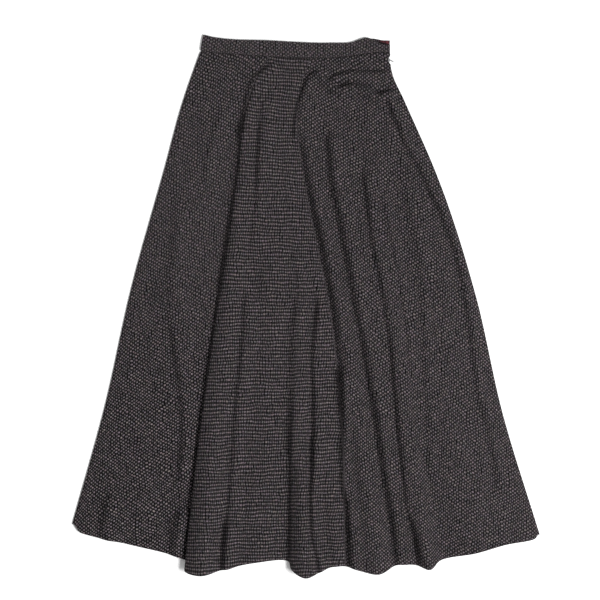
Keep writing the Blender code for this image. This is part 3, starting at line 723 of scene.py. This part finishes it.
def zip_tape(black):
    """The zip's tape, between the two panels from below the slider down."""
    grid = []
    for y in np.linspace(ZIP_TOP, ZIP_TOP - ZIP_LENGTH, ZIP_STEPS + 1):
        outer = zip_edge(y) - ZIP_EDGE - COIL_RADIUS
        row = []
        for x in np.linspace(outer - TAPE_WIDTH, outer, TAPE_STEPS + 1):
            wave = math.sin(y / TAPE_WAVE_Y) * math.sin(x / TAPE_WAVE_X)
            row.append((x, y, TAPE_Z + TAPE_WAVE * wave))
        grid.append(row)
    grid = np.array(grid)
    return shell("zip_tape_cloth", grid, TAPE_THICK, grid[..., :2], black)


def zip_coil(black):
    """The zip's closed coil along the tape's outer edge, as one wound wire."""
    turns = ZIP_LENGTH / COIL_PITCH
    angles = np.linspace(0, 2 * math.pi * turns, round(turns * COIL_TURN_STEPS) + 1)
    y = ZIP_TOP - ZIP_LENGTH * angles / angles[-1]
    x = np.array([zip_edge(place) for place in y]) - ZIP_EDGE - COIL_RADIUS
    core = np.stack([x, y, np.full_like(x, COIL_Z)], axis=-1)
    outward = np.stack([np.cos(angles), np.zeros_like(x), np.sin(angles)], axis=-1)
    path = core + COIL_RADIUS * outward
    side = np.cross(unit(np.gradient(path, axis=0)), outward)
    ring = 2 * math.pi * np.arange(WIRE_SIDES) / WIRE_SIDES
    around_wire = np.cos(ring)[:, None] * outward[:, None] + np.sin(ring)[:, None] * side[:, None]
    points = path[:, None] + WIRE_RADIUS * around_wire
    index = np.arange(len(path) * WIRE_SIDES).reshape(len(path), WIRE_SIDES)
    around = np.roll(index, -1, axis=1)
    sides = np.stack([index[:-1], index[1:], around[1:], around[:-1]], axis=-1).reshape(-1, 4)
    faces = sides.tolist() + [index[0].tolist(), index[-1, ::-1].tolist()]
    points = points.reshape(-1, 3)
    return mesh_object("zip_coil", points, faces, black, points[:, :2])


def inner_tape(red):
    """The red tape on the inside of the back band, at the opening."""
    low, high = (np.array(corner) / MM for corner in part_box("inner_tape"))
    across = np.linspace(low[0], high[0], RED_ACROSS + 1)
    down = np.linspace(high[1], low[1], RED_UP + 1)
    x, y = np.meshgrid(across, down)
    middle = (low[2] + high[2]) / 2
    z = middle + RED_WAVE * np.sin(x * RED_WAVE_TURN_X) * np.sin(y * RED_WAVE_TURN_Y)
    grid = np.stack([x, y, z], axis=-1)
    return shell("waist_tape", grid, (high[2] - low[2]) * RED_THICK_SHARE, grid[..., :2], red)


# Most of a noise lies between these values.
NOISE_LOW = 0.2
NOISE_HIGH = 0.8


class Nodes:
    """Short calls that add shader nodes to a material."""

    def __init__(self, name):
        self.material = bpy.data.materials.new(name)
        self.material.use_nodes = True
        self.tree = self.material.node_tree
        self.shader = self.tree.nodes["Principled BSDF"]

    def add(self, kind, **settings):
        """Add a node and set its properties."""
        node = self.tree.nodes.new(kind)
        for key, value in settings.items():
            setattr(node, key, value)
        return node

    def put(self, socket, value):
        """Link a socket to another, or give it a value."""
        if isinstance(value, bpy.types.NodeSocket):
            self.tree.links.new(value, socket)
        else:
            socket.default_value = value

    def math(self, operation, *values):
        """A sum, product or other operation on numbers."""
        node = self.add("ShaderNodeMath", operation=operation)
        for socket, value in zip(node.inputs, values):
            self.put(socket, value)
        return node.outputs[0]

    def fit(self, value, low, high, to_low=0.0, to_high=1.0):
        """Go smoothly from to_low to to_high as the value goes from low to high."""
        node = self.add("ShaderNodeMapRange", interpolation_type="SMOOTHSTEP")
        for socket, given in zip(node.inputs, (value, low, high, to_low, to_high)):
            self.put(socket, given)
        return node.outputs[0]

    def vector(self, x, y, z=0.0):
        """A vector from three numbers."""
        node = self.add("ShaderNodeCombineXYZ")
        for socket, value in zip(node.inputs, (x, y, z)):
            self.put(socket, value)
        return node.outputs[0]

    def noise(self, place, scale, detail=2.0):
        """Smooth noise between about 0 and 1."""
        node = self.add("ShaderNodeTexNoise")
        self.put(node.inputs["Vector"], place)
        self.put(node.inputs["Scale"], scale)
        self.put(node.inputs["Detail"], detail)
        return node.outputs["Fac"]

    def noise_colour(self, place, scale):
        """Three smooth noises between about 0 and 1, as one colour."""
        node = self.add("ShaderNodeTexNoise")
        self.put(node.inputs["Vector"], place)
        self.put(node.inputs["Scale"], scale)
        return node.outputs["Color"]

    def chance(self, place):
        """A random number and a random colour for each different place."""
        node = self.add("ShaderNodeTexWhiteNoise", noise_dimensions="2D")
        self.put(node.inputs["Vector"], place)
        return node.outputs["Value"], node.outputs["Color"]

    def mix(self, share, first, second, kind="MIX"):
        """Mix two colours."""
        node = self.add("ShaderNodeMix", data_type="RGBA", blend_type=kind)
        self.put(node.inputs["Factor"], share)
        self.put(node.inputs["A"], first)
        self.put(node.inputs["B"], second)
        return node.outputs["Result"]

    def bump(self, height, distance):
        """Make the surface look raised by a height, of which 1 stands for a distance in metres."""
        node = self.add("ShaderNodeBump")
        self.put(node.inputs["Height"], height)
        self.put(node.inputs["Distance"], distance)
        self.put(self.shader.inputs["Normal"], node.outputs[0])

    def set(self, **values):
        """Set the shader's own sockets; an underscore in a name stands for a space."""
        for name, value in values.items():
            self.put(self.shader.inputs[name.replace("_", " ")], value)

    def split(self, vector):
        """The three parts of a vector or a colour."""
        node = self.add("ShaderNodeSeparateXYZ")
        self.put(node.inputs[0], vector)
        return node.outputs[:]

    def weave(self, layer="Weave"):
        """The two coordinates of one of the weave's layers."""
        return self.split(self.add("ShaderNodeUVMap", uv_map=layer).outputs[0])[:2]


# The tweed's weave: rows of light dashes on a dark ground, in millimetres. Strong and weak
# dashes take turns from row to row and, where the weave is checkered, along the rows too. Each
# row is moved along by up to ROW_JITTER of a dash's place. A dash fills about DASH_FILL of its
# place, and half its length and its middle vary by DASH_VARIES. Its ends fade within DASH_SOFT,
# and its sides from DASH_SIDE of a row off the row's middle.
WEAVE_ROW = 3.0
WEAVE_DASH = 4.2
ROW_JITTER = 0.12
DASH_FILL = 0.72
DASH_VARIES = 0.05
DASH_SOFT = 0.07
DASH_SIDE = 0.35
DASH_LEVEL_VARIES = 0.08
WEAK_DASH = 0.28

# The rows and dashes stray from their places in long waves and in short ones.
DRIFT_SCALE = 0.022
DRIFT_ALONG = 3.0
DRIFT_ACROSS = 2.0
WOBBLE_SCALE = 0.09
WOBBLE_ALONG = 0.8
WOBBLE_ACROSS = 0.5

# Flecks are the uneven bits of yarn. DARK_SHARE is the level of the ground between the dashes.
# Contrast spreads the levels away from MIDDLE_SHARE, and lowers them all by DIMMED for each 1
# that it is above 1. YARN is the light yarn's colour, and TINT is how far single dashes stray
# from it.
FLECK = 1.5
FLECK_SPREAD = 0.75
FLECK_MIDDLE = 0.45
DARK_SHARE = 0.012
MIDDLE_SHARE = 0.6
DIMMED = 0.3
YARN = (0.088, 0.0762, 0.0808, 1)
TINT = 0.12

# The second coordinate of a random number's place, where the first is a row's number.
ROW_CHANCE = 7.0
FLECK_CHANCE = 3.0

# What the dashes, the ribs between them and the fibres add to the tweed's relief.
DASH_RELIEF = 0.8
RIB_WIDTH = 1.05
RIB_RELIEF = 0.3
FIBRE_STRETCH = 0.6
FIBRE_SCALE = 2.2
FIBRE_DETAIL = 3.0
FIBRE_RELIEF = 0.4
TWEED_RELIEF = 0.3 * MM


def strayed(n, along, across):
    """The weave's two coordinates, moved a little by long and short waves."""
    place = n.vector(along, across)
    drift = n.split(n.noise_colour(place, DRIFT_SCALE))
    wobble = n.split(n.noise_colour(place, WOBBLE_SCALE))
    moved = []
    for value, number, far, near in ((along, 0, DRIFT_ALONG, WOBBLE_ALONG),
                                     (across, 1, DRIFT_ACROSS, WOBBLE_ACROSS)):
        value = n.math("ADD", value, n.fit(drift[number], NOISE_LOW, NOISE_HIGH, -far, far))
        value = n.math("ADD", value, n.fit(wobble[number], NOISE_LOW, NOISE_HIGH, -near, near))
        moved.append(value)
    return moved


def from_centre(n, value, centre=0.5):
    """How far a number's part after the point is from a centre."""
    return n.math("ABSOLUTE", n.math("SUBTRACT", n.math("FRACT", value), centre))


def tweed_material():
    """Dark two-tone tweed."""
    n = Nodes("tweed")
    checkered, contrast = n.weave("Yarn")
    u, v = strayed(n, *n.weave())
    row_place = n.math("DIVIDE", v, WEAVE_ROW)
    row = n.math("FLOOR", row_place)
    row_shift, _ = n.chance(n.vector(row, ROW_CHANCE))
    along = n.math("MULTIPLY_ADD", row_shift, ROW_JITTER, n.math("DIVIDE", u, WEAVE_DASH))
    cell = n.math("FLOOR", along)
    value, colour = n.chance(n.vector(cell, row))
    length_share, place_share, _ = n.split(colour)
    shortest, longest = DASH_FILL * (0.5 - DASH_VARIES), DASH_FILL * (0.5 + DASH_VARIES)
    half = n.fit(length_share, 0.0, 1.0, shortest, longest)
    middle = n.fit(place_share, 0.0, 1.0, 0.5 - DASH_VARIES, 0.5 + DASH_VARIES)
    past_end = n.math("SUBTRACT", from_centre(n, along, middle), half)
    ends = n.fit(past_end, DASH_SOFT, -DASH_SOFT)
    dash = n.math("MULTIPLY", ends, n.fit(from_centre(n, row_place), 0.5, DASH_SIDE))
    turn = n.math("MULTIPLY_ADD", cell, checkered, row)
    odd = n.math("GREATER_THAN", n.math("FRACT", n.math("MULTIPLY", turn, 0.5)), 0.25)
    strong = n.math("MULTIPLY_ADD", odd, 1.0 - WEAK_DASH, WEAK_DASH)
    lightness = n.fit(value, 0.0, 1.0, 1 - DASH_LEVEL_VARIES, 1 + DASH_LEVEL_VARIES)
    bright = n.math("MULTIPLY", n.math("MULTIPLY", dash, strong), lightness)
    fleck_row = n.math("FLOOR", n.math("DIVIDE", v, FLECK))
    fleck_shift, _ = n.chance(n.vector(fleck_row, FLECK_CHANCE))
    fleck_cell = n.math("FLOOR", n.math("ADD", n.math("DIVIDE", u, FLECK), fleck_shift))
    fleck, _ = n.chance(n.vector(fleck_cell, fleck_row))
    spread_fleck = n.math("MULTIPLY_ADD", fleck, FLECK_SPREAD, -FLECK_MIDDLE * FLECK_SPREAD)
    level = n.math("MULTIPLY_ADD", bright, 1 - DARK_SHARE, DARK_SHARE)
    level = n.math("MULTIPLY", level, n.math("EXPONENT", spread_fleck))
    level = n.math("POWER", n.math("DIVIDE", level, MIDDLE_SHARE), contrast)
    level = n.math("MULTIPLY", level, n.math("MULTIPLY_ADD", contrast, -DIMMED, 1 + DIMMED))
    level = n.math("MULTIPLY", level, MIDDLE_SHARE)
    tinted = n.mix(TINT, YARN, n.mix(1.0, YARN, colour, "MULTIPLY"))
    n.set(Base_Color=n.mix(1.0, tinted, n.vector(level, level, level), "MULTIPLY"))
    n.set(Roughness=0.9, Specular_IOR_Level=0.04, Sheen_Weight=0.03, Sheen_Roughness=0.5)
    stretched = n.vector(n.math("MULTIPLY", u, FIBRE_STRETCH), v)
    fibres = n.math("MULTIPLY", n.noise(stretched, FIBRE_SCALE, FIBRE_DETAIL), FIBRE_RELIEF)
    ribs = n.math("ABSOLUTE", n.math("SINE", n.math("MULTIPLY", u, math.pi / RIB_WIDTH)))
    ribs = n.math("MULTIPLY", ribs, RIB_RELIEF)
    relief = n.math("ADD", n.math("MULTIPLY", dash, DASH_RELIEF), ribs)
    n.bump(n.math("ADD", relief, fibres), TWEED_RELIEF)
    return n.material


# The red tape has ribs along it and worn patches. Below a line that leans with the band's front
# edge it is darkened by painted shadow, which stands for the shade that the front band's top edge
# casts.
RED_DARK = (0.010, 0.006, 0.007, 1)
RED_LIGHT = (0.120, 0.028, 0.034, 1)
RED_RIB = 0.8
RED_RIB_DARK = 0.7
RED_WORN_SCALE = 0.28
RED_WORN_DETAIL = 3.0
RED_WORN_LOW = 0.4
RED_WORN_HIGH = 0.6
RED_WORN_DARK = 0.25
RED_RELIEF = 0.15 * MM
RED_PAINTED_SHADOW_SLOPE = 0.3
RED_PAINTED_SHADOW_LOW = 496.6
RED_PAINTED_SHADOW_HIGH = 498.8


def red_tape_material():
    """Dark red ribbed tape, with painted shadow along the front band's edge."""
    n = Nodes("red_tape")
    u, v = n.weave()
    ribs = n.math("ABSOLUTE", n.math("SINE", n.math("MULTIPLY", v, math.pi / RED_RIB)))
    worn = n.noise(n.vector(u, v), RED_WORN_SCALE, RED_WORN_DETAIL)
    # Painted shadow: the tape turns dark below a line that leans with the front band's top edge.
    edge = n.math("MULTIPLY_ADD", u, RED_PAINTED_SHADOW_SLOPE, v)
    painted_shadow = n.fit(edge, RED_PAINTED_SHADOW_LOW, RED_PAINTED_SHADOW_HIGH)
    patches = n.fit(worn, RED_WORN_LOW, RED_WORN_HIGH, RED_WORN_DARK, 1.0)
    shade = n.math("MULTIPLY", n.fit(ribs, 0.0, 1.0, RED_RIB_DARK, 1.0), patches)
    shade = n.math("MULTIPLY", shade, painted_shadow)
    n.set(Base_Color=n.mix(shade, RED_DARK, RED_LIGHT))
    n.set(Roughness=0.85, Specular_IOR_Level=0.1, Sheen_Weight=0.05, Sheen_Roughness=0.5)
    n.bump(n.math("ADD", ribs, worn), RED_RELIEF)
    return n.material


# The black tape's slanting ribs, in millimetres.
TWILL_WIDTH = 0.5
TWILL_DARK = (0.010, 0.010, 0.011, 1)
TWILL_LIGHT = (0.030, 0.030, 0.032, 1)
TWILL_RELIEF = 0.08 * MM


def zip_tape_material():
    """Black twill tape."""
    n = Nodes("zip_tape")
    u, v = n.weave()
    ribs = n.math("SINE", n.math("MULTIPLY", n.math("ADD", u, v), math.pi / TWILL_WIDTH))
    n.set(Base_Color=n.mix(n.fit(ribs, -1.0, 1.0), TWILL_DARK, TWILL_LIGHT))
    n.set(Roughness=0.8)
    n.bump(ribs, TWILL_RELIEF)
    return n.material


# Scratches are stretched noise, given by how often it changes in a metre along x, y and z.
SCRATCHES = (300.0, 4000.0, 900.0)
SCRATCH_DETAIL = 4.0
SCRATCH_RELIEF = 0.02 * MM
SMOOTHER = 0.1
ROUGHER = 0.15
PATCH_SCALE = 700.0
PATCH_DETAIL = 3.0
PATCH_LOW = 0.3
PATCH_HIGH = 0.7
PATCH_DARK = 0.55


class Metal(NamedTuple):
    """A metal finish and the solids that it goes on."""
    name: str
    colour: tuple
    rough: float
    nodes: tuple


METALS = (
    Metal("zip_metal", (0.42, 0.42, 0.43), 0.35, ("zip_slider", "zip_pull")),
    Metal("hook_metal", (0.5, 0.5, 0.51), 0.3, ("band_hook", "band_bar")),
)


def metal_material(metal):
    """Satin metal with fine scratches and dull patches."""
    n = Nodes(metal.name)
    place = n.add("ShaderNodeTexCoord").outputs["Object"]
    stretch = n.add("ShaderNodeVectorMath", operation="MULTIPLY")
    n.put(stretch.inputs[0], place)
    n.put(stretch.inputs[1], SCRATCHES)
    scratches = n.noise(stretch.outputs[0], 1.0, SCRATCH_DETAIL)
    patches = n.noise(place, PATCH_SCALE, PATCH_DETAIL)
    dull = tuple(part * PATCH_DARK for part in metal.colour) + (1,)
    n.set(Base_Color=n.mix(n.fit(patches, PATCH_LOW, PATCH_HIGH), dull, metal.colour + (1,)))
    smoothest, roughest = metal.rough - SMOOTHER, metal.rough + ROUGHER
    n.set(Metallic=1.0, Roughness=n.fit(scratches, NOISE_LOW, NOISE_HIGH, smoothest, roughest))
    n.bump(scratches, SCRATCH_RELIEF)
    return n.material


FLOOR_DARK = (0.93, 0.93, 0.93, 1)
FLOOR_LIGHT = (0.96, 0.96, 0.96, 1)
FLOOR_PATCH_SCALE = 2.0


def floor_material():
    """A pale matt floor with a faint unevenness."""
    n = Nodes("pale_floor")
    place = n.add("ShaderNodeTexCoord").outputs["Object"]
    n.set(Base_Color=n.mix(n.noise(place, FLOOR_PATCH_SCALE), FLOOR_DARK, FLOOR_LIGHT))
    n.set(Roughness=0.9, Specular_IOR_Level=0.1)
    return n.material


# The camera looks straight down, with the waist up in the picture. All in metres but the sensor.
CAMERA_X = -0.0104
CAMERA_Y = 0.0104
CAMERA_HEIGHT = 4.0
CAMERA_REACH = 50
FRAME_WIDTH = 1.042
SENSOR = 36.0


def add_camera():
    """Add the camera."""
    data = bpy.data.cameras.new("camera")
    data.sensor_width = SENSOR
    data.lens = SENSOR * CAMERA_HEIGHT / FRAME_WIDTH
    data.clip_end = CAMERA_REACH
    made = bpy.data.objects.new("camera", data)
    made.location = (CAMERA_X, CAMERA_Y, CAMERA_HEIGHT)
    bpy.context.scene.collection.objects.link(made)
    bpy.context.scene.camera = made


class Lamp(NamedTuple):
    """A soft square light that points at the skirt's middle."""
    name: str
    place: tuple
    size: float
    power: float


LAMPS = (
    Lamp("key", (2.6, -1.1, 3.7), 1.6, 300),
    Lamp("fill", (-2.6, 0.8, 3.2), 2.4, 20),
)
SKY = 0.36


def add_lights():
    """Add the lights and the even light from all round."""
    for lamp in LAMPS:
        data = bpy.data.lights.new(lamp.name, "AREA")
        data.size = lamp.size
        data.energy = lamp.power
        made = bpy.data.objects.new(lamp.name, data)
        made.location = lamp.place
        x, y, z = lamp.place
        flat = math.hypot(x, y)
        made.rotation_euler = (0, math.atan2(flat, z), math.atan2(y, x))
        bpy.context.scene.collection.objects.link(made)
    world = bpy.data.worlds.new("studio")
    world.use_nodes = True
    sky = world.node_tree.nodes["Background"]
    sky.inputs["Color"].default_value = (1, 1, 1, 1)
    sky.inputs["Strength"].default_value = SKY
    bpy.context.scene.world = world
    bpy.context.scene.view_settings.view_transform = "Standard"


# Half the floor's side, and its height just below the cloth, in millimetres.
FLOOR_HALF = 6000
FLOOR_Z = -0.05


def add_floor():
    """Add the floor."""
    corners = [(-FLOOR_HALF, -FLOOR_HALF, FLOOR_Z), (FLOOR_HALF, -FLOOR_HALF, FLOOR_Z),
               (FLOOR_HALF, FLOOR_HALF, FLOOR_Z), (-FLOOR_HALF, FLOOR_HALF, FLOOR_Z)]
    mesh_object("floor", corners, [(0, 1, 2, 3)], floor_material())


add_camera()
add_lights()
add_floor()
tweed = tweed_material()
front = front_panel(tweed)
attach(front, "skirt")
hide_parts("front_panel")
back = back_panel(tweed)
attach(back, "skirt")
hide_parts("back_panel")
band = waistband(tweed)
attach(band, "skirt")
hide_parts("waistband")
tape = inner_tape(red_tape_material())
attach(tape, "skirt")
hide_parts("inner_tape")
black = zip_tape_material()
zip_cloth = zip_tape(black)
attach(zip_cloth, "skirt")
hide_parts("zip_tape")
coil = zip_coil(black)
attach(coil, "skirt")
for metal in METALS:
    finish = metal_material(metal)
    for node in metal.nodes:
        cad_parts[node].material_slots[0].material = finish
